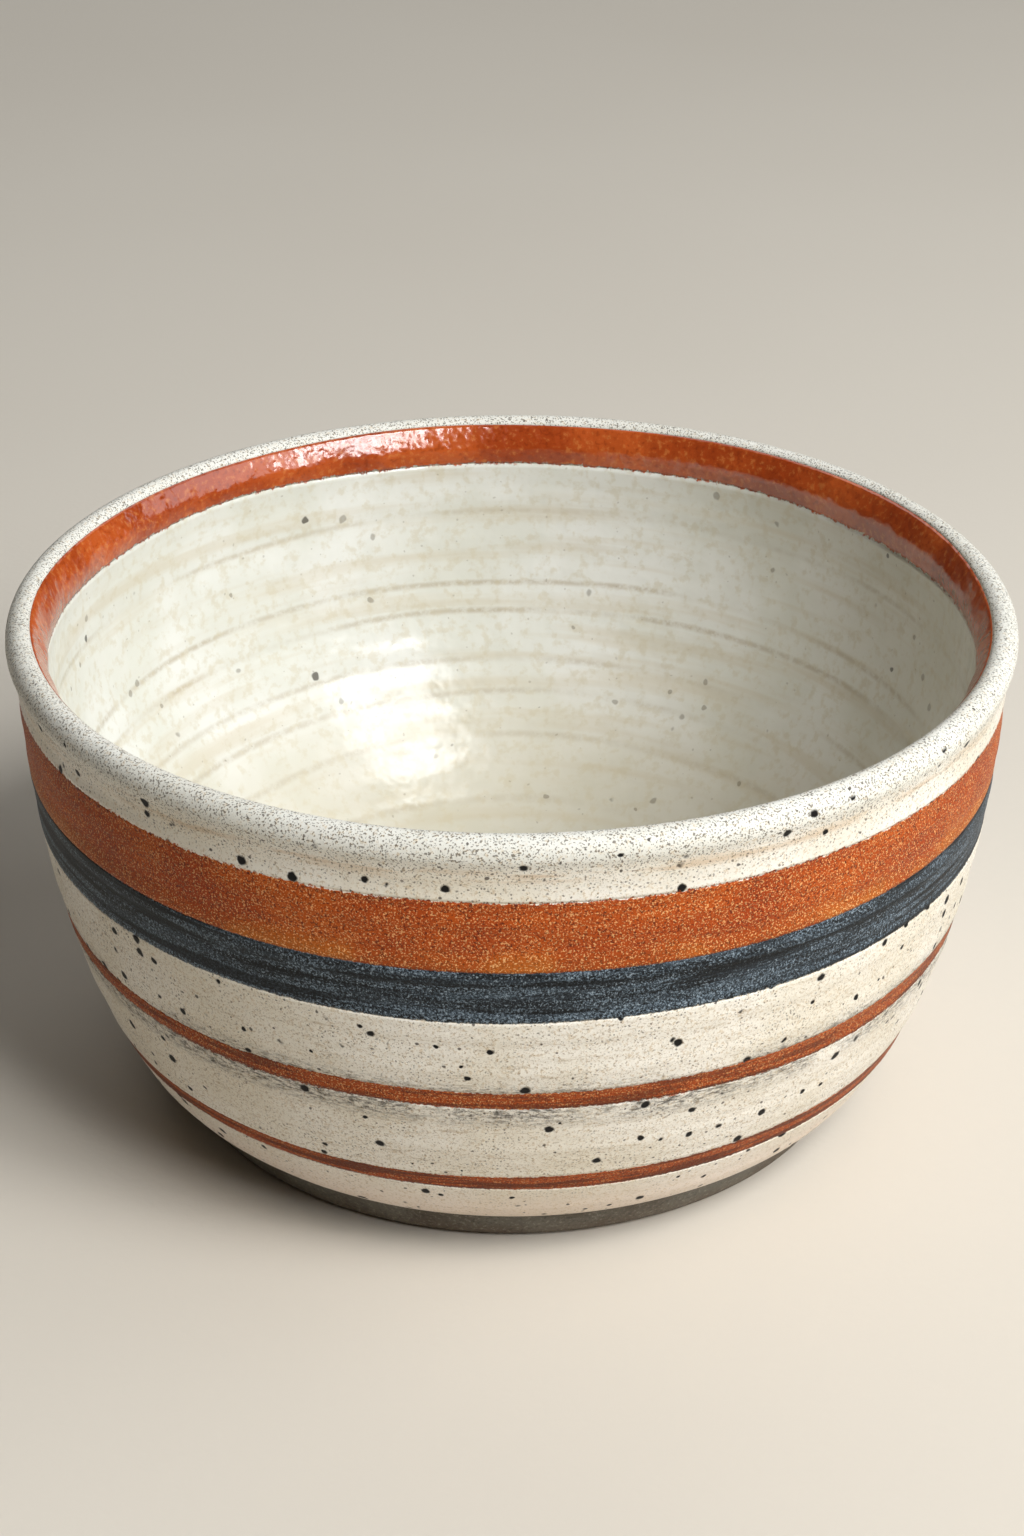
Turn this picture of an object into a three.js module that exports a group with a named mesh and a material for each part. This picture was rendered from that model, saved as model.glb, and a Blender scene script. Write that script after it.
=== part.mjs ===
// A wheel-thrown stoneware yarn bowl: a clay wall and floor, a trimmed foot ring,
// and the coats of glaze and coloured slip that the potter lays over them.
// Millimetres, +Z up. The origin is the centre of the circle that the foot stands on.
import * as THREE from 'three';

// ---- Driving dimensions -------------------------------------------------

const rimRadius = 82.5;          // widest circle, round the rolled lip
const rimHeight = 83.9;          // height of that circle
const lipRadius = 2.6;           // the lip's outer side is a round bead in section
const lipUnderAngle = -50;       // degrees round the bead, from level, where the wall meets it
const shoulderWidth = 3.6;       // the lip's inner side is a quarter ellipse down to the hollow
const shoulderDrop = 7.5;
const footHeight = 6.9;          // where the wall's glaze stops and the dark foot starts

const wallRadius = 81.2;         // outside of the wall, just under the lip
const wallTop = 80.0;
const wallStartRadius = 61.6;    // outside of the wall, just above the foot
const wallBow = 1.95;            // these two exponents set how full the belly is
const wallFlare = 0.66;

const lipCentreRadius = rimRadius - lipRadius;
const hollowRadius = lipCentreRadius - shoulderWidth;
const hollowTop = rimHeight + lipRadius - shoulderDrop;
const floorHeight = 12.0;        // top of the glazed floor inside
const floorRadius = 30.0;        // the floor is flat this far out
const hollowBow = 2.05;
const hollowFlare = 0.62;

const footTopRadius = 61.0;      // the foot steps in a little under the belly
const footBottomRadius = 58.4;
const footInnerRadius = 52.0;
const footEdge = 1.0;            // bare, softened edge that the foot stands on
const recessDepth = 4.9;         // hollow under the floor, inside the foot ring

const coatThickness = 0.5;       // fired glaze or slip
const layerGap = 0.3;            // clearance between one layer and the next
const coatDepth = coatThickness + layerGap;
const shoulderGap = 3;           // degrees of the inner shoulder that come to about one layer gap
const clayBottom = recessDepth + layerGap;

// Heights where one colour meets the next, from the rim down
const wideRustTop = 75.9;
const wideRustBottom = 63.9;
const blueBlackBottom = 54.6;
const upperRingTop = 40.7;
const upperRingBottom = 37.3;
const lowerRingTop = 21.4;
const lowerRingBottom = 18.0;
const innerRustBottom = 78.6;
const innerRustAngle = 61;       // top of the inner rust band, in degrees up the inner shoulder

const segments = 48;             // round the bowl
const profileStep = 8;           // longest step in height along a curved wall
const arcStep = 24;              // longest step round the lip, in degrees

// ---- Colours ------------------------------------------------------------

const finishes = {
  bareClay: { color: '#8d7765', roughness: 0.9 },
  creamLiner: { color: '#dfd5bf', roughness: 0.16 },
  creamSatin: { color: '#d9cfbf', roughness: 0.5 },
  rustGloss: { color: '#a24d2b', roughness: 0.18 },
  rustSatin: { color: '#ac5829', roughness: 0.55 },
  blueBlack: { color: '#353d46', roughness: 0.5 },
  slate: { color: '#57544f', roughness: 0.6 },
};

function finish(name) {
  return new THREE.MeshStandardMaterial({ ...finishes[name], metalness: 0 });
}

// ---- Curves of the wall -------------------------------------------------

// Radius between two heights on a stretched superellipse, upright at the top
function bowedRadius(height, start, end, bow, flare) {
  const share = THREE.MathUtils.clamp((height - start.height) / (end.height - start.height), 0, 1);
  return start.radius + (end.radius - start.radius) * (1 - (1 - share) ** bow) ** flare;
}

function outsideRadius(height) {
  const start = { height: footHeight, radius: wallStartRadius };
  const end = { height: wallTop, radius: wallRadius };
  return bowedRadius(height, start, end, wallBow, wallFlare);
}

function insideRadius(height) {
  const start = { height: floorHeight, radius: floorRadius };
  const end = { height: hollowTop, radius: hollowRadius };
  return bowedRadius(height, start, end, hollowBow, hollowFlare);
}

// Points up a wall, from low to high, moved outwards by offset
function wallPoints(radiusAt, low, high, offset) {
  const steps = Math.max(1, Math.ceil((high - low) / profileStep));
  const points = [];
  for (let i = 0; i <= steps; i += 1) {
    const height = low + (high - low) * i / steps;
    points.push(new THREE.Vector2(radiusAt(height) + offset, height));
  }
  return points;
}

// Points round the lip, between two angles in degrees from level
function lipArc(height, across, up, from, to) {
  const count = Math.ceil(Math.abs(to - from) / arcStep);
  const points = [];
  for (let i = 0; i <= count; i += 1) {
    const angle = THREE.MathUtils.degToRad(from + (to - from) * i / count);
    const radius = lipCentreRadius + across * Math.cos(angle);
    points.push(new THREE.Vector2(radius, height + up * Math.sin(angle)));
  }
  return points;
}

// The lip's outer bead, from the wall to the top of the lip, moved in by depth
function beadPoints(depth) {
  const reach = lipRadius - depth;
  return lipArc(rimHeight, reach, reach, lipUnderAngle, 90);
}

// The lip's inner shoulder, between two angles up from the hollow, moved in by depth
function shoulderPoints(from, to, depth) {
  return lipArc(hollowTop, depth - shoulderWidth, shoulderDrop - depth, from, to);
}

// ---- Solids of revolution -----------------------------------------------

const bowl = new THREE.Group();

function addTurned(name, finishName, profile) {
  const geometry = new THREE.LatheGeometry(profile, segments);
  geometry.rotateX(Math.PI / 2);
  const mesh = new THREE.Mesh(geometry, finish(finishName));
  mesh.name = name;
  bowl.add(mesh);
}

// A coat lies between two lines, each given from its lower edge up; outer is farther from the axis
function addCoat(name, finishName, outer, inner) {
  addTurned(name, finishName, [...outer, ...inner.reverse(), outer[0].clone()]);
}

// A coat on the outside of the wall, a layer gap short of each neighbour
function addOutsideBand(name, finishName, bottom, top) {
  const low = bottom + layerGap / 2;
  const high = top - layerGap / 2;
  const face = wallPoints(outsideRadius, low, high, 0);
  const back = wallPoints(outsideRadius, low, high, -coatThickness);
  addCoat(name, finishName, face, back);
}

// ---- Clay ---------------------------------------------------------------

function addClayBody() {
  const outside = wallPoints(outsideRadius, footHeight + layerGap, wallTop, -coatDepth);
  const inside = wallPoints(insideRadius, floorHeight, hollowTop, coatDepth).reverse();
  for (const point of inside) {
    point.y = Math.max(point.y - coatDepth, floorHeight - coatDepth);
  }
  addTurned('stoneware_body', 'bareClay', [
    new THREE.Vector2(0, clayBottom),
    new THREE.Vector2(footRadius(clayBottom) - coatDepth, clayBottom),
    new THREE.Vector2(footTopRadius - coatDepth, footHeight + layerGap / 2),
    ...outside,
    ...beadPoints(coatDepth),
    ...shoulderPoints(90, 0, coatDepth).slice(1),
    ...inside,
    new THREE.Vector2(0, floorHeight - coatDepth),
  ]);
}

// The foot's outside leans in from its top to the edge that it stands on
function footRadius(height) {
  return THREE.MathUtils.mapLinear(height, 0, footHeight, footBottomRadius, footTopRadius);
}

function addFootRing() {
  addTurned('foot_ring', 'bareClay', [
    new THREE.Vector2(footInnerRadius + footEdge, 0),
    new THREE.Vector2(footBottomRadius - coatDepth - footEdge / 2, 0),
    new THREE.Vector2(footRadius(footEdge) - coatDepth, footEdge / 2),
    new THREE.Vector2(footRadius(recessDepth) - coatDepth, recessDepth),
    new THREE.Vector2(footInnerRadius, recessDepth),
    new THREE.Vector2(footInnerRadius, footEdge),
    new THREE.Vector2(footInnerRadius + footEdge, 0),
  ]);
}

// ---- Coats --------------------------------------------------------------

function addLinerGlaze() {
  const top = innerRustBottom - layerGap / 2;
  const face = wallPoints(insideRadius, floorHeight, top, 0);
  const back = face.map((point) => new THREE.Vector2(
    point.x + coatThickness,
    Math.max(point.y - coatThickness, floorHeight - coatThickness),
  ));
  addTurned('liner_glaze', 'creamLiner', [
    new THREE.Vector2(0, floorHeight - coatThickness),
    ...back,
    ...face.reverse(),
    new THREE.Vector2(0, floorHeight),
  ]);
}

function addInnerRustBand() {
  const bottom = innerRustBottom + layerGap / 2;
  const line = (depth) => [
    new THREE.Vector2(insideRadius(bottom) + depth, bottom),
    ...shoulderPoints(0, innerRustAngle - shoulderGap / 2, depth),
  ];
  addCoat('inner_rust_band', 'rustGloss', line(coatThickness), line(0));
}

function addRimGlaze() {
  const bottom = wideRustTop + layerGap / 2;
  const line = (depth) => [
    ...wallPoints(outsideRadius, bottom, wallTop, -depth),
    ...beadPoints(depth),
    ...shoulderPoints(90, innerRustAngle + shoulderGap / 2, depth).slice(1),
  ];
  addCoat('rim_glaze', 'creamSatin', line(0), line(coatThickness));
}

function addFootSlip() {
  const low = footEdge;
  const high = footHeight - layerGap / 2;
  addCoat(
    'foot_slip',
    'slate',
    wallPoints(footRadius, low, high, 0),
    wallPoints(footRadius, low, high, -coatThickness),
  );
}

addClayBody();
addFootRing();
addLinerGlaze();
addInnerRustBand();
addRimGlaze();
addOutsideBand('wide_rust_band', 'rustSatin', wideRustBottom, wideRustTop);
addOutsideBand('blue_black_band', 'blueBlack', blueBlackBottom, wideRustBottom);
addOutsideBand('middle_cream_band', 'creamSatin', upperRingTop, blueBlackBottom);
addOutsideBand('upper_rust_ring', 'rustSatin', upperRingBottom, upperRingTop);
addOutsideBand('lower_cream_band', 'creamSatin', lowerRingTop, upperRingBottom);
addOutsideBand('lower_rust_ring', 'rustSatin', lowerRingBottom, lowerRingTop);
addOutsideBand('base_cream_band', 'creamSatin', footHeight, lowerRingBottom);
addFootSlip();

export default bowl;
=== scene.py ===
import math

import bpy
import numpy as np
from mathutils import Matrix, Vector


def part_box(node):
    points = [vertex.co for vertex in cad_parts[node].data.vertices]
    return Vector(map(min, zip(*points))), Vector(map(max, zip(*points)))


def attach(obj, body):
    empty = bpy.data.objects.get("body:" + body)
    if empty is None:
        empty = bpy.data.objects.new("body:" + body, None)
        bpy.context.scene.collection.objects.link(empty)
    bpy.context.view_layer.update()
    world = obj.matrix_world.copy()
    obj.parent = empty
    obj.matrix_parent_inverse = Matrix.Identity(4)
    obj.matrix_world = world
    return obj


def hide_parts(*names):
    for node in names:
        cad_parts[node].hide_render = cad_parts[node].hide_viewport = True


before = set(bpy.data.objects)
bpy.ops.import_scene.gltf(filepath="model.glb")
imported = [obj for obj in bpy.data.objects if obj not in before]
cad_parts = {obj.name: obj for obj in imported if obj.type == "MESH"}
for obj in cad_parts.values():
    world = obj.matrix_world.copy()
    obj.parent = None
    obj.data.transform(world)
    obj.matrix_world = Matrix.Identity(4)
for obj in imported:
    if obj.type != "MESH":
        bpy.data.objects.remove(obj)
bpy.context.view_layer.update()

# A wheel-thrown stoneware bowl. The clay, the glazes and the slips are solids of revolution about Z,
# with the small unevenness that hands leave. Lengths are in metres; shader lengths are in millimetres.

MM = 0.001
SEGMENTS = 480                  # round the bowl
ROW = 0.5 * MM                  # between rows of faces, along the outline
LINER_ROW = 1.0 * MM            # on the liner, whose relief is broader
HIDDEN_ROW = 3.0 * MM           # on surfaces that the coats cover

# ---- The outline, from the frame ----------------------------------------------------------------

# Outside coats from the foot up, with the record's material slot of each
OUTSIDE_COATS = [
    ("foot_slip", "slate_slip"),
    ("base_cream_band", "cream_satin_glaze"),
    ("lower_rust_ring", "rust_satin_slip"),
    ("lower_cream_band", "cream_satin_glaze"),
    ("upper_rust_ring", "rust_satin_slip"),
    ("middle_cream_band", "cream_satin_glaze"),
    ("blue_black_band", "blue_black_slip"),
    ("wide_rust_band", "rust_satin_slip"),
    ("rim_glaze", "cream_satin_glaze"),
]

LIP_RADIUS = 2.6 * MM
COAT = 0.5 * MM                 # thickness of glaze or slip
WALL_TOP = 80.0 * MM            # outside, just under the lip
WALL_START_RADIUS = 61.6 * MM   # outside, just above the foot
WALL_BOW, WALL_FLARE = 1.95, 0.66
WALL_FROM, WALL_TO = 0.012, 0.985   # shares of the wall's height, between the foot's ledge and the lip
CROWDING = 1.6                  # draws the outline's points together low down, where it turns most
LIP_UNDER_ANGLE = -40           # degrees round the lip's outer bead, from level, where the bead starts
SHOULDER_WIDTH = 3.6 * MM       # the lip's inner side is a quarter ellipse down to the hollow
SHOULDER_DROP = 7.5 * MM
FLOOR_RADIUS = 30.0 * MM
HOLLOW_BOW, HOLLOW_FLARE = 2.05, 0.62
FOOT_LEAN = 2.6 * MM            # how far the foot leans in at its bottom
FOOT_START = 0.3 * MM           # height where the outline starts
OUTLINE_STEP = 0.1 * MM
OUTLINE_SOFTENING = 3           # in steps

# The ledge where the belly overhangs the foot: how far out of the foot and how far under its top, in mm
FOOT_LEDGE = [(0.0, 0.35), (0.25, 0.15), (1.0, 0.1)]

rim_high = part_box("rim_glaze")[1]
foot_low, foot_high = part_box("foot_slip")
liner_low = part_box("liner_glaze")[0]
rim_radius, rim_top = rim_high.x, rim_high.z
lip_centre = (rim_radius - LIP_RADIUS, rim_top - LIP_RADIUS)
wall_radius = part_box("wide_rust_band")[1].x
hollow_radius = lip_centre[0] - SHOULDER_WIDTH
hollow_top = rim_top - SHOULDER_DROP
floor_height = liner_low.z + COAT
foot_top_radius = foot_high.x
foot_bottom_radius = foot_top_radius - FOOT_LEAN


def meeting_height(lower, upper):
    """Where two coats meet, halfway across the clearance that the CAD leaves."""
    return (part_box(lower)[1].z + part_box(upper)[0].z) / 2


def bowed(share, start, end, bow, flare):
    """Radius part of the way up a wall that ends upright."""
    return start + (end - start) * (1 - (1 - share) ** bow) ** flare


# Where each outside coat meets the next one up
meeting_heights = [
    meeting_height(lower[0], upper[0]) for lower, upper in zip(OUTSIDE_COATS, OUTSIDE_COATS[1:])
]
foot_top = meeting_heights[0]


def skin_outline():
    """Radius and height along the bowl's surface: up the outside, over the lip, down the inside."""
    share = np.linspace(0, 1, 300) ** CROWDING
    foot = [(foot_bottom_radius, FOOT_START)]
    foot += [(foot_top_radius + out * MM, foot_top - under * MM) for out, under in FOOT_LEDGE]
    wall_share = share[(share > WALL_FROM) & (share < WALL_TO)]
    wall = np.stack([
        bowed(wall_share, WALL_START_RADIUS, wall_radius, WALL_BOW, WALL_FLARE),
        foot_top + (WALL_TOP - foot_top) * wall_share,
    ], 1)
    angle = np.radians(np.arange(LIP_UNDER_ANGLE, 90, 4))
    bead = np.stack([
        lip_centre[0] + LIP_RADIUS * np.cos(angle),
        lip_centre[1] + LIP_RADIUS * np.sin(angle),
    ], 1)
    angle = np.radians(np.arange(90, 0, -2))
    shoulder = np.stack([
        lip_centre[0] - SHOULDER_WIDTH * np.cos(angle),
        hollow_top + SHOULDER_DROP * np.sin(angle),
    ], 1)
    hollow = np.stack([
        bowed(share, FLOOR_RADIUS, hollow_radius, HOLLOW_BOW, HOLLOW_FLARE),
        floor_height + (hollow_top - floor_height) * share,
    ], 1)[::-1]
    return np.concatenate([foot, wall, bead, shoulder, hollow, [(0, floor_height)]])


def evenly_spaced(points, spacing):
    """The same polyline with points at equal distances along it."""
    steps = np.linalg.norm(np.diff(points, axis=0), axis=1)
    along = np.concatenate([[0], np.cumsum(steps)])
    wanted = np.linspace(0, along[-1], int(along[-1] / spacing) + 1)
    return np.stack([np.interp(wanted, along, points[:, k]) for k in (0, 1)], 1)


def softened(points, width):
    """The polyline with its corners rounded over about width points; its ends stay."""
    reach = np.arange(-3 * width, 3 * width + 1)
    weight = np.exp(-0.5 * (reach / width) ** 2)
    weight /= weight.sum()
    padded = np.pad(points, ((reach[-1], reach[-1]), (0, 0)), mode="reflect", reflect_type="odd")
    return np.stack([np.convolve(padded[:, k], weight, "valid") for k in (0, 1)], 1)


skin = softened(evenly_spaced(skin_outline(), OUTLINE_STEP), OUTLINE_SOFTENING)
skin_along = np.concatenate([[0], np.cumsum(np.linalg.norm(np.diff(skin, axis=0), axis=1))])
tangent = np.gradient(skin, skin_along, axis=0)
tangent /= np.linalg.norm(tangent, axis=1)[:, None]
skin_out = np.stack([tangent[:, 1], -tangent[:, 0]], 1)
top_index = int(skin[:, 1].argmax())
skin_top = skin_along[top_index]
skin_end = skin_along[-1]


def along_outside(height):
    """Distance along the skin to a height on the outside."""
    return float(np.interp(height, skin[:top_index, 1], skin_along[:top_index]))


def along_inside(height):
    """Distance along the skin to a height on the inside wall."""
    return float(np.interp(-height, -skin[top_index:, 1], skin_along[top_index:]))


# ---- Unevenness left by the hands ---------------------------------------------------------------

turn = np.linspace(0, 2 * math.pi, SEGMENTS, endpoint=False)

OUT_OF_ROUND = 0.16 * MM
THROWING_PITCH = 9 * MM         # between one turn of the fingers' spiral and the next, outside
SLIP_STEP = 0.09 * MM           # how much lower a slip lies than the glaze beside it
SLIP_STEP_REACH = 0.25 * MM

# Grooves that the potter's fingers left inside: height and depth, in millimetres
INSIDE_GROOVES = [
    (68.6, 0.1),
    (55.2, 0.13),
    (50.2, 0.14),
    (41.5, 0.1),
    (36.0, 0.1),
    (29.4, 0.08),
    (20.8, 0.12),
]
GROOVE_WANDER = 0.5             # mm that a groove rises and falls round the bowl
GROOVE_REACH = 1.4              # mm above and below a groove's middle
ROLL_HEIGHT = 81.3              # mm: the middle of the lumpy roll of glaze inside, under the lip
ROLL_DEPTH = 0.5                # mm that the roll stands out
ROLL_REACH = 1.9                # mm above and below its middle
SMOOTH_LIP = 3.4 * MM           # the relief dies away within about this distance of the top of the lip
SMOOTH_CENTRE = 12 * MM         # and fades towards the middle of the floor
SMOOTH_FOOT = 6 * MM            # and towards the foot
CROSSING = 1.2 * MM             # over the lip, where the outside's relief gives way to the inside's

# The slow wander round the bowl: cycles in one turn, what the phase is multiplied by, and size
WAVES = [(2, 1, 0.5), (5, 2.1, 0.3), (9, 3.7, 0.2)]


def wave(angle, phase):
    """A slow wander round the bowl, between about -1 and 1. It closes on itself."""
    return sum(size * np.sin(cycles * angle + shift * phase) for cycles, shift, size in WAVES)


def throwing_relief(along, angle, height):
    """How far the surface stands out of the true outline, in metres."""
    spiral = 2 * math.pi * along / THROWING_PITCH + angle
    outside = 0.07 * np.sin(spiral) + 0.035 * np.sin(2.6 * spiral - 1.6 * angle + 1)
    inside = 0.035 * np.sin(1.3 * spiral - 0.3 * angle) + 0.008 * np.sin(3.1 * spiral - 0.1 * angle)
    for groove, depth in INSIDE_GROOVES:
        centre = groove + GROOVE_WANDER * wave(angle, groove)
        inside = inside - depth * np.exp(-((height / MM - centre) / GROOVE_REACH) ** 2)
    roll_height = ROLL_HEIGHT + 0.3 * wave(angle, 1.3)
    lumps = 1 + 0.2 * np.sin(31 * angle + 2 * wave(angle, 0.4)) * (1 + wave(angle, 2.2))
    inside = inside + ROLL_DEPTH * lumps * np.exp(-((height / MM - roll_height) / ROLL_REACH) ** 2)
    near_lip = np.exp(-((along - skin_top) / SMOOTH_LIP) ** 2)
    inner_share = 1 / (1 + np.exp(-(along - skin_top) / CROSSING))
    off_centre = np.clip((skin_end - along) / SMOOTH_CENTRE, 0, 1)
    off_foot = np.clip((along - SMOOTH_FOOT) / SMOOTH_FOOT, 0, 1)
    relief = outside * (1 - inner_share) + inside * inner_share
    return MM * (1 - near_lip) * off_centre * off_foot * relief


coat_edges = []                 # (distance along the skin, step up) where a slip meets a glaze


def coat_relief(along):
    """Slips lie a little lower than the glaze beside them."""
    total = np.zeros_like(along)
    for edge, step in coat_edges:
        total = total + step * 0.5 * (1 + np.tanh((along - edge) / SLIP_STEP_REACH))
    return total


def surface(along, depth=0.0):
    """Points of the skin, for an array of distances along it (rows by SEGMENTS), moved in by depth."""
    angle = np.broadcast_to(turn, along.shape)
    radius = np.interp(along, skin_along, skin[:, 0])
    height = np.interp(along, skin_along, skin[:, 1])
    out_r = np.interp(along, skin_along, skin_out[:, 0])
    out_z = np.interp(along, skin_along, skin_out[:, 1])
    push = throwing_relief(along, angle, height) + coat_relief(along) - depth
    radius = np.maximum(radius + out_r * push, 0)
    height = height + out_z * push
    radius = radius - OUT_OF_ROUND * (0.7 + 0.5 * wave(angle, 0.7)) * (height / rim_top)
    height = height - OUT_OF_ROUND * (0.6 + 0.5 * wave(angle, 2.9)) * (height / rim_top) ** 2
    return np.stack([radius * np.cos(angle), radius * np.sin(angle), height], -1)


# ---- Meshes -------------------------------------------------------------------------------------

def turned_piece(name, rings, closed, flat_gaps=()):
    """A mesh from rings of points. Closed: the last joins the first. Else both ends close on the axis."""
    count, segments = rings.shape[:2]
    points = rings.reshape(-1, 3)
    column = np.arange(segments)
    beside = (column + 1) % segments
    quads, flat = [], []
    for i in range(count if closed else count - 1):
        here, there = i * segments, ((i + 1) % count) * segments
        quads.append(np.stack([here + column, here + beside, there + beside, there + column], 1))
        flat += [i in flat_gaps] * segments
    faces = np.concatenate(quads).tolist()
    if not closed:
        points = np.concatenate([points, [[0, 0, rings[0, 0, 2]], [0, 0, rings[-1, 0, 2]]]])
        first, last = count * segments, count * segments + 1
        end = (count - 1) * segments
        faces += np.stack([np.full(segments, first), beside, column], 1).tolist()
        faces += np.stack([np.full(segments, last), end + column, end + beside], 1).tolist()
        flat += [False] * (2 * segments)
    mesh = bpy.data.meshes.new(name)
    mesh.from_pydata(points.tolist(), [], faces)
    mesh.polygons.foreach_set("use_smooth", [not value for value in flat])
    mesh.update()
    piece = bpy.data.objects.new(name, mesh)
    bpy.context.scene.collection.objects.link(piece)
    return piece


def edge_line(along, phase, wander):
    """A coat's edge: its distance along the skin, which wanders a little round the bowl."""
    return along + wander * wave(turn, phase)


def coat_piece(name, low, high):
    """A coat of glaze or slip between two edge lines, with its own thickness and closed edges."""
    rows = max(4, int(np.mean(high - low) / ROW))
    share = np.linspace(0, 1, rows + 1)[:, None]
    along = low + (high - low) * share
    front = surface(along)
    back = surface(along, COAT)[::-1]
    rings = np.concatenate([front, back])
    return turned_piece(name, rings, True, {rows, 2 * rows + 1})


def finished(piece, material, slot, *nodes):
    """Gives a piece its material, hangs it on the root and hides the CAD parts that it stands for."""
    piece.data.materials.append(material)
    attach(piece, "root")
    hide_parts(*nodes)


# ---- Shader helpers -----------------------------------------------------------------------------

def tint(code):
    """A linear colour from a hex code."""
    channels = [int(code[i:i + 2], 16) / 255 for i in (1, 3, 5)]
    return tuple(c / 12.92 if c <= 0.04045 else ((c + 0.055) / 1.055) ** 2.4 for c in channels) + (1,)


class Shader:
    """Adds nodes to one material. An input is a number, a colour, a vector or another node's output."""

    def __init__(self, name):
        self.material = bpy.data.materials.new(name)
        self.material.use_nodes = True
        self.tree = self.material.node_tree
        self.tree.nodes.clear()
        place = self.add("ShaderNodeTexCoord", {})["Object"]
        self.place = self.vector("MULTIPLY", place, (1000, 1000, 1000))
        parts = self.add("ShaderNodeSeparateXYZ", {0: self.place})
        self.x, self.y, self.z = parts[0], parts[1], parts[2]
        self.angle = self.math("ARCTAN2", self.y, self.x)

    def add(self, kind, inputs, **settings):
        node = self.tree.nodes.new(kind)
        for key, value in settings.items():
            setattr(node, key, value)
        for key, value in inputs.items():
            if isinstance(value, bpy.types.NodeSocket):
                self.tree.links.new(value, node.inputs[key])
            else:
                node.inputs[key].default_value = value
        return node.outputs

    def math(self, operation, *values):
        return self.add("ShaderNodeMath", dict(enumerate(values)), operation=operation)[0]

    def vector(self, operation, *values):
        return self.add("ShaderNodeVectorMath", dict(enumerate(values)), operation=operation)[0]

    def stretched(self, across, up):
        """Coordinates squeezed along the turn, so that a noise becomes streaks."""
        return self.vector("MULTIPLY", self.place, (across, across, up))

    def noise(self, scale, detail=2, roughness=0.5, place=None):
        inputs = {"Vector": place or self.place, "Scale": scale, "Detail": detail, "Roughness": roughness}
        return self.add("ShaderNodeTexNoise", inputs)[0]

    def cells(self, scale, place=None):
        """Distance to the nearest cell centre, and a random number for that cell."""
        outputs = self.add("ShaderNodeTexVoronoi", {"Vector": place or self.place, "Scale": scale})
        chance = self.add("ShaderNodeSeparateColor", {0: outputs["Color"]})[0]
        return outputs["Distance"], chance

    def ramp(self, value, low, high, start=0.0, end=1.0):
        """Smooth step from start to end as value goes from low to high."""
        inputs = {0: value, 1: low, 2: high, 3: start, 4: end}
        return self.add("ShaderNodeMapRange", inputs, interpolation_type="SMOOTHSTEP")[0]

    def mix(self, factor, a, b):
        return self.add("ShaderNodeMix", {0: factor, 6: a, 7: b}, data_type="RGBA")[2]

    def blend(self, factor, a, b):
        return self.add("ShaderNodeMix", {0: factor, 2: a, 3: b}, data_type="FLOAT")[0]

    def warped(self, scale, reach):
        """Coordinates pulled about by a noise, so that round spots come out uneven."""
        pull = self.add("ShaderNodeTexNoise", {"Vector": self.place, "Scale": scale, "Detail": 1})[1]
        return self.vector("MULTIPLY_ADD", pull, (reach, reach, reach), self.place)

    def spots(self, spacing, small, large, share, place=None):
        """Round spots: small and large are radii in millimetres, share is the part of cells with one."""
        distance, chance = self.cells(1 / spacing, place)
        present = self.math("LESS_THAN", chance, share)
        size = self.math("MULTIPLY_ADD", chance, (large - small) / share, small)
        size = self.math("DIVIDE", size, spacing)
        inner = self.math("MULTIPLY", size, 0.75)
        outer = self.math("MULTIPLY", size, 1.15)
        return self.math("MULTIPLY", self.ramp(distance, inner, outer, 1.0, 0.0), present)

    def wander(self, phase):
        """The same slow wander round the bowl as wave()."""
        total = 0.0
        for cycles, shift, size in WAVES:
            turned = self.math("MULTIPLY_ADD", self.angle, cycles, shift * phase)
            total = self.math("MULTIPLY_ADD", self.math("SINE", turned), size, total)
        return total

    def surface(self, colour, roughness, height, relief=1.0, **uniform):
        """The finished surface. height is in millimetres; uniform values go on the shader itself."""
        bump = self.add("ShaderNodeBump", {"Strength": relief, "Distance": MM, "Height": height})[0]
        inputs = {"Base Color": colour, "Roughness": roughness, "Normal": bump, **uniform}
        shader = self.add("ShaderNodeBsdfPrincipled", inputs)[0]
        self.add("ShaderNodeOutputMaterial", {"Surface": shader})
        return self.material


# ---- Glazes and slips ---------------------------------------------------------------------------
# Each paint gives its colour, its roughness and its relief in millimetres.

def between(shader, low, high, soft):
    """1 where the height is between low and high, fading out over soft millimetres at both ends."""
    above = shader.ramp(shader.z, low - soft, low + soft)
    return shader.math("MULTIPLY", above, shader.ramp(shader.z, high - soft, high + soft, 1.0, 0.0))


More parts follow.
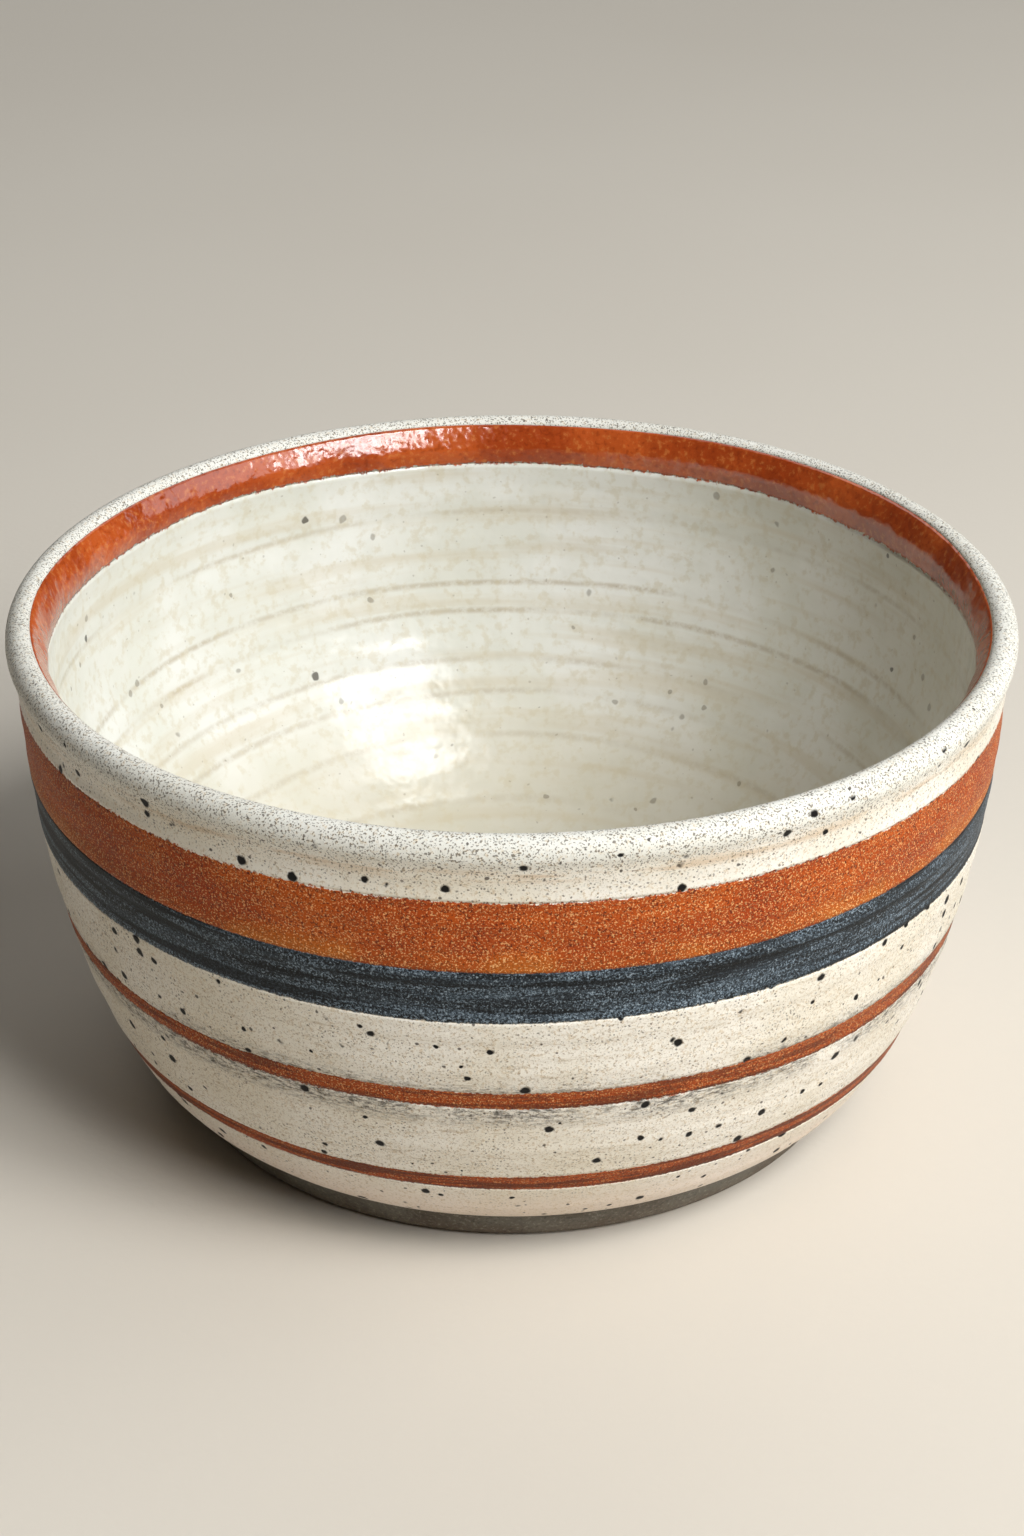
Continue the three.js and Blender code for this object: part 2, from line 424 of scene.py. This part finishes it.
def cream(shader):
    """Satin cream glaze, peppered with fine grains and iron spots, cooler on the rim."""
    slow = shader.noise(0.05, 3)
    grain = shader.noise(1.7, 3, 0.7)
    colour = shader.mix(shader.ramp(slow, 0.35, 0.65), tint("#ebe5d9"), tint("#e2dac9"))
    # Pinker and a little darker below about 20 mm: painted warm light, bounced up onto the belly from below
    colour = shader.mix(shader.ramp(shader.z, 20, 10, 0, 0.45), colour, tint("#e2c9ba"))
    colour = shader.mix(shader.ramp(shader.z, 79.5, 84, 0, 0.7), colour, tint("#dddcd3"))

    # Tan streaks in the groove under the lip
    streak = shader.ramp(shader.noise(1.0, 3, 0.6, shader.stretched(0.05, 0.6)), 0.42, 0.62)
    groove = shader.math("MULTIPLY", between(shader, 79.6, 81.4, 0.7), streak)
    colour = shader.mix(shader.math("MULTIPLY", groove, 0.55), colour, tint("#c4a37a"))
    colour = shader.mix(shader.ramp(grain, 0.52, 0.66, 0, 0.6), colour, tint("#c9b18c"))

    # Tan grains and short lines on the wall, but not on the rim or near the foot
    tan_zone = shader.math("MULTIPLY", shader.ramp(shader.z, 62, 50), shader.ramp(shader.z, 12, 22))
    tan_grain = shader.math("MULTIPLY", shader.ramp(shader.noise(2.7, 2, 0.6), 0.56, 0.66, 0, 0.6), tan_zone)
    colour = shader.mix(tan_grain, colour, tint("#8d7350"))
    hairline = shader.ramp(shader.noise(1.0, 4, 0.75, shader.stretched(0.16, 1.2)), 0.56, 0.68, 0, 0.38)
    colour = shader.mix(shader.math("MULTIPLY", hairline, tan_zone), colour, tint("#a58c66"))

    # Pepper, in patches on the wall and all over the rim
    warped = shader.warped(0.9, 0.6)
    patch = shader.ramp(shader.noise(0.11, 3), 0.42, 0.6, 0.12, 1)
    pepper_zone = shader.math("MAXIMUM", patch, shader.ramp(shader.z, 74, 79))
    pepper_zone = shader.math("MULTIPLY", pepper_zone, shader.ramp(shader.z, 8, 24, 0.3, 1))
    fine = shader.math("MULTIPLY", shader.spots(0.55, 0.09, 0.2, 0.6, warped), pepper_zone)
    colour = shader.mix(shader.math("MULTIPLY", fine, 0.74), colour, tint("#4b3f33"))
    finest = shader.ramp(shader.noise(3.4, 1), 0.57, 0.64)
    finest = shader.math("MULTIPLY", finest, shader.ramp(shader.z, 76, 84, 0.1, 0.8))
    colour = shader.mix(finest, colour, tint("#5d574c"))
    small = shader.spots(2.1, 0.14, 0.34, 0.5, warped)
    colour = shader.mix(shader.math("MULTIPLY", small, 0.85), colour, tint("#33271f"))

    # The dark smudge round the upper ring
    smudge = between(shader, 34.2, 42, 1.8)
    smudge = shader.math("MULTIPLY", smudge, shader.ramp(shader.noise(0.06, 2), 0.3, 0.5))
    smoke = shader.ramp(shader.noise(2.0, 4, 0.8, shader.stretched(0.3, 1)), 0.42, 0.64, 0.1, 0.9)
    colour = shader.mix(shader.math("MULTIPLY", smudge, smoke), colour, tint("#3b352f"))

    # Iron spots, with none on the very top of the lip
    iron = shader.spots(3.7, 0.35, 0.95, 0.72, warped)
    iron = shader.math("MULTIPLY", iron, shader.ramp(shader.z, 84.6, 85.2, 1.0, 0.0))
    colour = shader.mix(iron, colour, tint("#060404"))
    roughness = shader.blend(iron, shader.ramp(grain, 0.3, 0.7, 0.38, 0.52), 0.55)
    relief = shader.math("MULTIPLY_ADD", grain, 0.06, shader.math("MULTIPLY", iron, -0.12))
    relief = shader.math("MULTIPLY_ADD", shader.noise(0.35, 2), 0.12, relief)
    return colour, roughness, relief


def rust(shader):
    """Granular rust slip with golden flecks, most of them low on the wide band."""
    slow = shader.noise(0.07, 3)
    grain = shader.noise(2.6, 2, 0.65)
    flecks = shader.noise(3.4, 2, 0.6, shader.vector("ADD", shader.place, (31, 17, 5)))
    wide = shader.ramp(shader.z, 50, 60)
    colour = shader.mix(shader.ramp(slow, 0.35, 0.65), tint("#a03c08"), tint("#b8520f"))
    colour = shader.mix(shader.math("SUBTRACT", 1.0, wide), colour, tint("#9c4415"))
    colour = shader.mix(shader.ramp(grain, 0.5, 0.36, 0, 0.85), colour, tint("#561d06"))

    # Golden patches along the lower edge of the wide band, and flecks
    golden = shader.math("MULTIPLY", between(shader, 62, 66.5, 2), shader.ramp(slow, 0.42, 0.58, 0.15, 0.5))
    colour = shader.mix(golden, colour, tint("#b4691f"))
    amount = shader.math("MULTIPLY_ADD", golden, 0.5, shader.ramp(shader.z, 20, 60, 0.42, 0.74))
    fleck = shader.math("MULTIPLY", shader.ramp(flecks, 0.55, 0.63), amount)
    colour = shader.mix(fleck, colour, tint("#eab274"))

    # Dark brushed lines, strongest on the rings
    dark_line = shader.ramp(shader.noise(1.0, 3, 0.6, shader.stretched(0.06, 0.9)), 0.45, 0.56, 0, 0.75)
    dark_line = shader.math("MULTIPLY", dark_line, shader.ramp(shader.z, 30, 58, 1.0, 0.15))
    colour = shader.mix(dark_line, colour, tint("#4c2113"))

    # A fringe of dark dots along the wide band's upper edge
    fringe = shader.math("MULTIPLY", shader.spots(0.8, 0.16, 0.32, 0.75), between(shader, 75, 77.3, 0.5))
    colour = shader.mix(shader.math("MULTIPLY", fringe, 0.85), colour, tint("#4f180a"))
    roughness = shader.ramp(grain, 0.35, 0.65, 0.48, 0.62)
    relief = shader.math("MULTIPLY_ADD", flecks, 0.06, shader.math("MULTIPLY", grain, 0.1))
    return colour, roughness, relief


def blue_black(shader):
    """Brushed blue-black slip: dark lines and slate wisps that run with the turn."""
    streak = shader.noise(1.0, 4, 0.65, shader.stretched(0.045, 1.0))
    wisp = shader.noise(1.0, 4, 0.7, shader.stretched(0.08, 0.45))
    grain = shader.noise(2.9, 3, 0.8)
    colour = shader.mix(shader.ramp(streak, 0.42, 0.58), tint("#0d1013"), tint("#2d353c"))
    pale = shader.ramp(shader.z, 58, 55, 0, 0.2)
    wisps = shader.ramp(shader.math("ADD", wisp, pale), 0.4, 0.62, 0.2, 1)
    slate_share = shader.math("MULTIPLY", shader.ramp(grain, 0.47, 0.57), wisps)
    colour = shader.mix(slate_share, colour, tint("#687783"))
    colour = shader.mix(shader.math("MULTIPLY", shader.ramp(grain, 0.56, 0.66), 0.7), colour, tint("#a7b4bc"))
    colour = shader.mix(shader.ramp(grain, 0.45, 0.34, 0, 0.9), colour, tint("#040506"))
    brushed = shader.noise(1.0, 3, 0.6, shader.stretched(0.02, 0.55))
    colour = shader.mix(shader.ramp(brushed, 0.52, 0.42, 0, 0.82), colour, tint("#07090b"))
    roughness = shader.ramp(grain, 0.35, 0.65, 0.45, 0.6)
    relief = shader.math("MULTIPLY_ADD", streak, 0.12, shader.math("MULTIPLY", grain, 0.1))
    return colour, roughness, relief


def slate(shader):
    """Matte grey slip on the foot, browner towards the bottom."""
    slow = shader.noise(0.09, 3)
    grain = shader.noise(1.6, 4, 0.7)
    colour = shader.mix(shader.ramp(slow, 0.35, 0.65), tint("#6c685e"), tint("#5b5348"))
    colour = shader.mix(shader.ramp(shader.z, 4.5, 0.5, 0, 0.5), colour, tint("#6b5a48"))
    colour = shader.mix(shader.ramp(grain, 0.52, 0.68, 0, 0.6), colour, tint("#989185"))
    colour = shader.mix(shader.ramp(grain, 0.46, 0.34, 0, 0.6), colour, tint("#37332e"))
    roughness = shader.ramp(grain, 0.35, 0.65, 0.55, 0.72)
    relief = shader.math("MULTIPLY", grain, 0.12)
    return colour, roughness, relief


PAINTS = {
    "slate_slip": slate,
    "cream_satin_glaze": cream,
    "rust_satin_slip": rust,
    "blue_black_slip": blue_black,
}

# Where the liner meets the inner rust band, and how far that line wanders, in millimetres
inside_meeting = meeting_height("liner_glaze", "inner_rust_band")
INSIDE_PHASE, INSIDE_WANDER = 5.8, 0.7

# How far each meeting line wanders and how ragged it is, in millimetres, from the foot up
MEETINGS = [
    (0.1, 0.1),
    (0.25, 0.25),
    (0.3, 0.25),
    (0.5, 0.35),
    (0.45, 0.35),
    (0.2, 0.25),
    (0.1, 0.12),
    (0.35, 0.55),
]
LIP_PHASE, LIP_WANDER = 3.7, 0.5    # of the line between the rim glaze and the inner rust band

# The shader's specular level: how much a surface mirrors what it faces
OUTSIDE_SPECULAR = 0.2
GLOSS_RUST_SPECULAR = 0.85
LINER_SPECULAR = 0.36


def outside_material(index):
    """The coat's own paint, crossing raggedly into its neighbours' paints at its edges."""
    name, slot = OUTSIDE_COATS[index]
    shader = Shader(name)
    paint = PAINTS[slot](shader)
    for other, line in ((index - 1, index - 1), (index + 1, index)):
        if not 0 <= other < len(OUTSIDE_COATS):
            continue
        height = meeting_heights[line] / MM
        wander, ragged = MEETINGS[line]
        ragged_noise = shader.math("MULTIPLY_ADD", shader.noise(1.5, 3, 0.7), 4 * ragged, -2 * ragged)
        edge = shader.math("MULTIPLY_ADD", shader.wander(height), wander, height)
        gap = shader.math("SUBTRACT", shader.math("ADD", shader.z, ragged_noise), edge)
        above = shader.ramp(gap, -0.12, 0.12)
        factor = above if other > index else shader.math("SUBTRACT", 1.0, above)
        next_paint = PAINTS[OUTSIDE_COATS[other][1]](shader)
        paint = (
            shader.mix(factor, paint[0], next_paint[0]),
            shader.blend(factor, paint[1], next_paint[1]),
            shader.blend(factor, paint[2], next_paint[2]),
        )
    return shader.surface(*paint, **{"Specular IOR Level": OUTSIDE_SPECULAR})


def liner(shader):
    """Glossy cream liner, a little tan where it breaks over the throwing lines."""
    slow = shader.noise(0.045, 3)
    colour = shader.mix(shader.ramp(slow, 0.35, 0.65), tint("#dddcd4"), tint("#d2d1c5"))
    # Darker and browner towards the floor of the hollow: painted shade, where less light reaches deep in the
    # bowl
    colour = shader.mix(shader.ramp(shader.z, 46, 22, 0, 0.5), colour, tint("#bdb398"))
    broken = shader.ramp(shader.noise(0.55, 3, 0.7), 0.36, 0.58, 0.35, 1)
    for groove, depth in INSIDE_GROOVES:
        centre = shader.math("MULTIPLY_ADD", shader.wander(groove), GROOVE_WANDER, groove)
        away = shader.math("ABSOLUTE", shader.math("SUBTRACT", shader.z, centre))
        line = shader.ramp(away, 0.05, 0.85, depth * 4, 0.0)
        elsewhere = shader.vector("ADD", shader.place, (groove, 0, 3 * groove))
        comes_and_goes = shader.ramp(shader.noise(0.03, 2, 0.5, elsewhere), 0.38, 0.58, 0.15, 1)
        line = shader.math("MULTIPLY", line, comes_and_goes)
        line = shader.math("MULTIPLY", line, broken)
        colour = shader.mix(line, colour, tint("#a08d6b"))
    streak = shader.noise(1.0, 3, 0.5, shader.stretched(0.02, 0.3))
    colour = shader.mix(shader.ramp(streak, 0.48, 0.7, 0, 0.35), colour, tint("#bfae8c"))
    mottle = shader.noise(0.5, 3, 0.6)
    colour = shader.mix(shader.ramp(mottle, 0.48, 0.68, 0, 0.4), colour, tint("#c2b698"))
    warped = shader.warped(0.5, 1.2)
    spots = shader.math("MULTIPLY", shader.spots(5.8, 0.3, 0.85, 0.7, warped), 0.5)
    colour = shader.mix(spots, colour, tint("#6a5f50"))
    dark = shader.math("MULTIPLY", shader.spots(11, 0.4, 0.9, 0.9, warped), 0.8)
    colour = shader.mix(dark, colour, tint("#3b342c"))
    small = shader.math("MULTIPLY", shader.spots(1.7, 0.1, 0.26, 0.3, warped), 0.35)
    colour = shader.mix(small, colour, tint("#7f715d"))
    relief = shader.math("MULTIPLY", shader.noise(0.2, 2), 0.22)
    roughness = shader.ramp(shader.noise(0.3, 2), 0.35, 0.65, 0.18, 0.25)
    return colour, roughness, relief


def gloss_rust(shader):
    """Glossy rust band inside the lip, mottled where the glaze runs thick."""
    slow = shader.noise(0.06, 3)
    grain = shader.noise(0.9, 3, 0.6)
    colour = shader.mix(shader.ramp(slow, 0.35, 0.65), tint("#b7521f"), tint("#9a3c12"))
    colour = shader.mix(shader.ramp(grain, 0.52, 0.7, 0, 0.45), colour, tint("#cf7f3f"))
    colour = shader.mix(shader.ramp(grain, 0.46, 0.32, 0, 0.4), colour, tint("#6d230a"))
    relief = shader.math("MULTIPLY_ADD", shader.noise(0.3, 2), 0.42, shader.math("MULTIPLY", grain, 0.04))
    roughness = shader.ramp(grain, 0.35, 0.65, 0.13, 0.22)
    return colour, roughness, relief


def inside_material(name, specular):
    """Liner below and gloss rust above, meeting along a line that is a little ragged."""
    shader = Shader(name)
    ragged = shader.math("MULTIPLY_ADD", shader.noise(0.8, 3, 0.7), 2.4, -1.2)
    edge = shader.math("MULTIPLY_ADD", shader.wander(INSIDE_PHASE), -INSIDE_WANDER, inside_meeting / MM)
    gap = shader.math("SUBTRACT", shader.math("ADD", shader.z, ragged), edge)
    factor = shader.ramp(gap, -0.2, 0.2)
    below, above = liner(shader), gloss_rust(shader)
    return shader.surface(
        shader.mix(factor, below[0], above[0]),
        shader.blend(factor, below[1], above[1]),
        shader.blend(factor, below[2], above[2]),
        **{"Specular IOR Level": specular},
    )


def clay_material():
    """Bare fired clay, with grit and turning marks."""
    shader = Shader("bare_clay")
    slow = shader.noise(0.06, 3)
    grain = shader.noise(1.4, 4, 0.7)
    colour = shader.mix(shader.ramp(slow, 0.35, 0.65), tint("#9b8570"), tint("#84705d"))
    colour = shader.mix(shader.ramp(grain, 0.5, 0.72, 0, 0.5), colour, tint("#b9a48c"))
    colour = shader.mix(shader.spots(1.6, 0.12, 0.3, 0.3), colour, tint("#46382d"))
    relief = shader.math("MULTIPLY", grain, 0.16)
    return shader.surface(colour, shader.ramp(grain, 0.3, 0.7, 0.75, 0.92), relief)


# ---- The bowl -----------------------------------------------------------------------------------

for index, height in enumerate(meeting_heights[1:], 1):
    below, above = OUTSIDE_COATS[index][1], OUTSIDE_COATS[index + 1][1]
    below_glaze, above_glaze = below == "cream_satin_glaze", above == "cream_satin_glaze"
    coat_edges.append((along_outside(height), SLIP_STEP * (int(above_glaze) - int(below_glaze))))


def add_outside_coats():
    """Adds the coats from the foot up over the lip, and returns the last edge line, inside the lip."""
    lip_edge = along_inside(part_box("inner_rust_band")[1].z + 0.1 * MM)
    lines = [edge_line(along_outside(foot_low.z), 0, 0)]
    for index, height in enumerate(meeting_heights):
        lines.append(edge_line(along_outside(height), height / MM, MEETINGS[index][0] * MM))
    lines.append(edge_line(lip_edge, LIP_PHASE, LIP_WANDER * MM))
    for index, (name, slot) in enumerate(OUTSIDE_COATS):
        piece = coat_piece(f"{name}_coat", lines[index], lines[index + 1])
        finished(piece, outside_material(index), slot, name)
    return lines[-1]


def add_inside_coats(lip_line):
    """Adds the inner rust band and, under it, the liner down to the middle of the floor."""
    bottom = edge_line(along_inside(inside_meeting), INSIDE_PHASE, INSIDE_WANDER * MM)
    band = coat_piece("inner_rust_band_coat", lip_line, bottom)
    glaze = inside_material("rust_gloss_glaze", GLOSS_RUST_SPECULAR)
    finished(band, glaze, "rust_gloss_glaze", "inner_rust_band")
    reach = skin_end - bottom
    face_share = np.linspace(0, 0.999, int(reach.mean() / LINER_ROW))[:, None]
    back_share = np.linspace(0, 0.999, int(reach.mean() / HIDDEN_ROW))[:, None]
    face = surface(bottom + reach * face_share)
    back = surface(bottom + reach * back_share, COAT)
    lining = turned_piece("liner_glaze_coat", np.concatenate([back[::-1], face]), False, {len(back) - 1})
    glaze = inside_material("cream_liner_glaze", LINER_SPECULAR)
    finished(lining, glaze, "cream_liner_glaze", "liner_glaze")


def rings_through(profile):
    """Rings for points given as (radius, height)."""
    radius, height = np.array(profile).T
    return np.stack([
        radius[:, None] * np.cos(turn),
        radius[:, None] * np.sin(turn),
        np.broadcast_to(height[:, None], (len(profile), SEGMENTS)),
    ], -1)


CLAY_DEPTH = COAT + 0.15 * MM   # the clay lies a little clear of the coats' backs
LIP_REACH = 12 * MM             # the clay's rows are finer within this distance of the top of the lip
MARK_SPACING = 0.6 * MM         # between rings of points under the floor, which carry the turning marks
MARK_DEPTH = 0.1 * MM
BASE_LIFT = 0.12 * MM           # keeps the marks above the underside of the CAD's body
FOOT_RING_WIDTH = 7.4 * MM
FOOT_RING_INSET = 0.4 * MM      # behind the slip's outer face
FOOT_ROUNDING = 0.9 * MM        # on both edges that the ring stands on
FOOT_FILLET = 1.4 * MM          # where the ring's inner side spreads into the floor
FOOT_BURIED = 0.8 * MM          # how far the ring goes up into the body


def add_clay_body(material):
    """The clay under the coats, with turning marks on the bare underside."""
    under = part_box("stoneware_body")[0].z
    start = along_outside(foot_top - 0.4 * MM)
    round_lip = np.arange(skin_top - LIP_REACH, skin_top + LIP_REACH, ROW * 2)
    along = np.union1d(np.arange(start, skin_end - 0.2 * MM, HIDDEN_ROW), round_lip)
    along = along[:, None] + np.zeros(SEGMENTS)
    radii = np.arange(0.4 * MM, foot_top_radius - 1.2 * MM, MARK_SPACING)
    marks = MARK_DEPTH * np.sin(radii / (0.5 * MM)) * np.clip(radii / (6 * MM), 0, 1)
    base = rings_through([(r, under + BASE_LIFT + m) for r, m in zip(radii, marks)])
    rings = np.concatenate([base, surface(along, CLAY_DEPTH)])
    body = turned_piece("stoneware_body_clay", rings, False)
    finished(body, material, "bare_clay", "stoneware_body")


def add_foot_ring(material):
    """The ring that the bowl stands on: up its outside, across its buried top and down its inside."""
    ring_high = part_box("foot_ring")[1]
    inner = ring_high.x - FOOT_RING_WIDTH
    outer = foot_bottom_radius - FOOT_RING_INSET
    fillet_top = ring_high.z + 0.4 * MM
    ring_top = ring_high.z + FOOT_BURIED
    # A quarter of a circle, from its lowest point to its outermost, as shares of the radius
    quarter = [(math.cos(a), 1 - math.sin(a)) for a in np.radians(np.linspace(90, 0, 7))]
    heel = [(outer - FOOT_ROUNDING + FOOT_ROUNDING * c, FOOT_ROUNDING * d) for c, d in quarter]
    side = [(foot_top_radius - 0.55 * MM, ring_top), (inner - FOOT_FILLET, ring_top)]
    fillet = [(inner - FOOT_FILLET * (1 - c), fillet_top - FOOT_FILLET * d) for c, d in quarter]
    toe = [(inner + FOOT_ROUNDING * (1 - c), FOOT_ROUNDING * d) for c, d in quarter[::-1]]
    ring = turned_piece("foot_ring_clay", rings_through(heel + side + fillet + toe), True)
    finished(ring, material, "bare_clay", "foot_ring")


add_inside_coats(add_outside_coats())
clay = clay_material()
add_clay_body(clay)
add_foot_ring(clay)


# ---- Studio -------------------------------------------------------------------------------------

def floor_material():
    """Plain and pale, changing very slowly from one tint to another."""
    shader = Shader("pale_floor")
    colour = shader.mix(shader.noise(0.004, 2), tint("#d9d1c4"), tint("#d1c8ba"))
    return shader.surface(colour, 0.7, shader.math("MULTIPLY", shader.noise(0.6, 3), 0.05))


def add_floor():
    half = 3.0
    corners = [(-half, -half, 0), (half, -half, 0), (half, half, 0), (-half, half, 0)]
    mesh = bpy.data.meshes.new("floor")
    mesh.from_pydata(corners, [], [(0, 1, 2, 3)])
    floor = bpy.data.objects.new("floor", mesh)
    bpy.context.scene.collection.objects.link(floor)
    mesh.materials.append(floor_material())


def aim(light, position, target):
    """Puts a light at position, shining at target."""
    direction = np.array(target) - np.array(position)
    light.location = position
    light.rotation_euler = (
        math.atan2(math.hypot(direction[0], direction[1]), -direction[2]),
        0,
        math.atan2(-direction[0], direction[1]),
    )


def around(azimuth, elevation, distance):
    """A place at that distance from the bowl; angles in degrees."""
    azimuth, elevation = math.radians(azimuth), math.radians(elevation)
    level = distance * math.cos(elevation)
    return (level * math.cos(azimuth), level * math.sin(azimuth), distance * math.sin(elevation))


BOWL_MIDDLE = (0, 0, 0.04)


def add_softbox(name, position, width, height, power, colour, target=BOWL_MIDDLE):
    """A soft rectangular light. Sizes in metres, power in watts."""
    data = bpy.data.lights.new(name, "AREA")
    data.shape = "RECTANGLE"
    data.size, data.size_y = width, height
    data.energy = power
    data.color = colour
    light = bpy.data.objects.new(name, data)
    bpy.context.scene.collection.objects.link(light)
    aim(light, position, target)


WINDOW_DISTANCE = 1.3           # of the soft lights from the bowl, in metres
KEY_AZIMUTH, KEY_ELEVATION = -46, 46    # degrees: the key light comes from the front right
PANE_AZIMUTH, PANE_ELEVATION = 9.8, 8.8     # degrees from the key's middle to each of its four panes
PANE_WIDTH, PANE_HEIGHT = 0.28, 0.34
PANE_POWER = 4.9


def add_lights():
    """A window of four panes at the front right, a broad fill at the right and a wash on the floor behind."""
    for side in (-1, 1):
        for rise in (-1, 1):
            azimuth = KEY_AZIMUTH + PANE_AZIMUTH * side
            pane = around(azimuth, KEY_ELEVATION + PANE_ELEVATION * rise, WINDOW_DISTANCE)
            name = f"key_window_{side}_{rise}"
            add_softbox(name, pane, PANE_WIDTH, PANE_HEIGHT, PANE_POWER, (0.96, 0.98, 1.0))
    add_softbox("side_window", around(-4, 34, WINDOW_DISTANCE), 1.0, 0.9, 5.6, (0.93, 0.97, 1.0))
    add_softbox("backdrop_wash", (0, 1.5, 1.5), 2.4, 1.2, 12, (0.95, 0.98, 1.0), (0, 1.3, 0))


def add_world():
    """A faint warm light from all round."""
    world = bpy.data.worlds.new("studio")
    world.use_nodes = True
    background = world.node_tree.nodes["Background"]
    background.inputs["Color"].default_value = (1.0, 0.91, 0.8, 1)
    background.inputs["Strength"].default_value = 0.045
    bpy.context.scene.world = world


CAMERA_DISTANCE = 0.46924       # from the middle of the rim
CAMERA_ELEVATION = 25.12        # degrees above the rim, seen from its middle
CAMERA_TILT = 28.34             # degrees that the camera looks down from level
FOCAL_LENGTH = 66.8             # millimetres, with the sensor along the picture's height
SENSOR = 36                     # millimetres


def add_camera():
    data = bpy.data.cameras.new("camera")
    data.lens, data.sensor_width = FOCAL_LENGTH, SENSOR
    data.clip_start = 0.01
    camera = bpy.data.objects.new("camera", data)
    bpy.context.scene.collection.objects.link(camera)
    elevation = math.radians(CAMERA_ELEVATION)
    camera.location = (
        0,
        -CAMERA_DISTANCE * math.cos(elevation),
        lip_centre[1] + CAMERA_DISTANCE * math.sin(elevation),
    )
    camera.rotation_euler = (math.radians(90 - CAMERA_TILT), 0, 0)
    bpy.context.scene.camera = camera


add_floor()
add_lights()
add_world()
add_camera()
bpy.context.scene.view_settings.view_transform = "Standard"
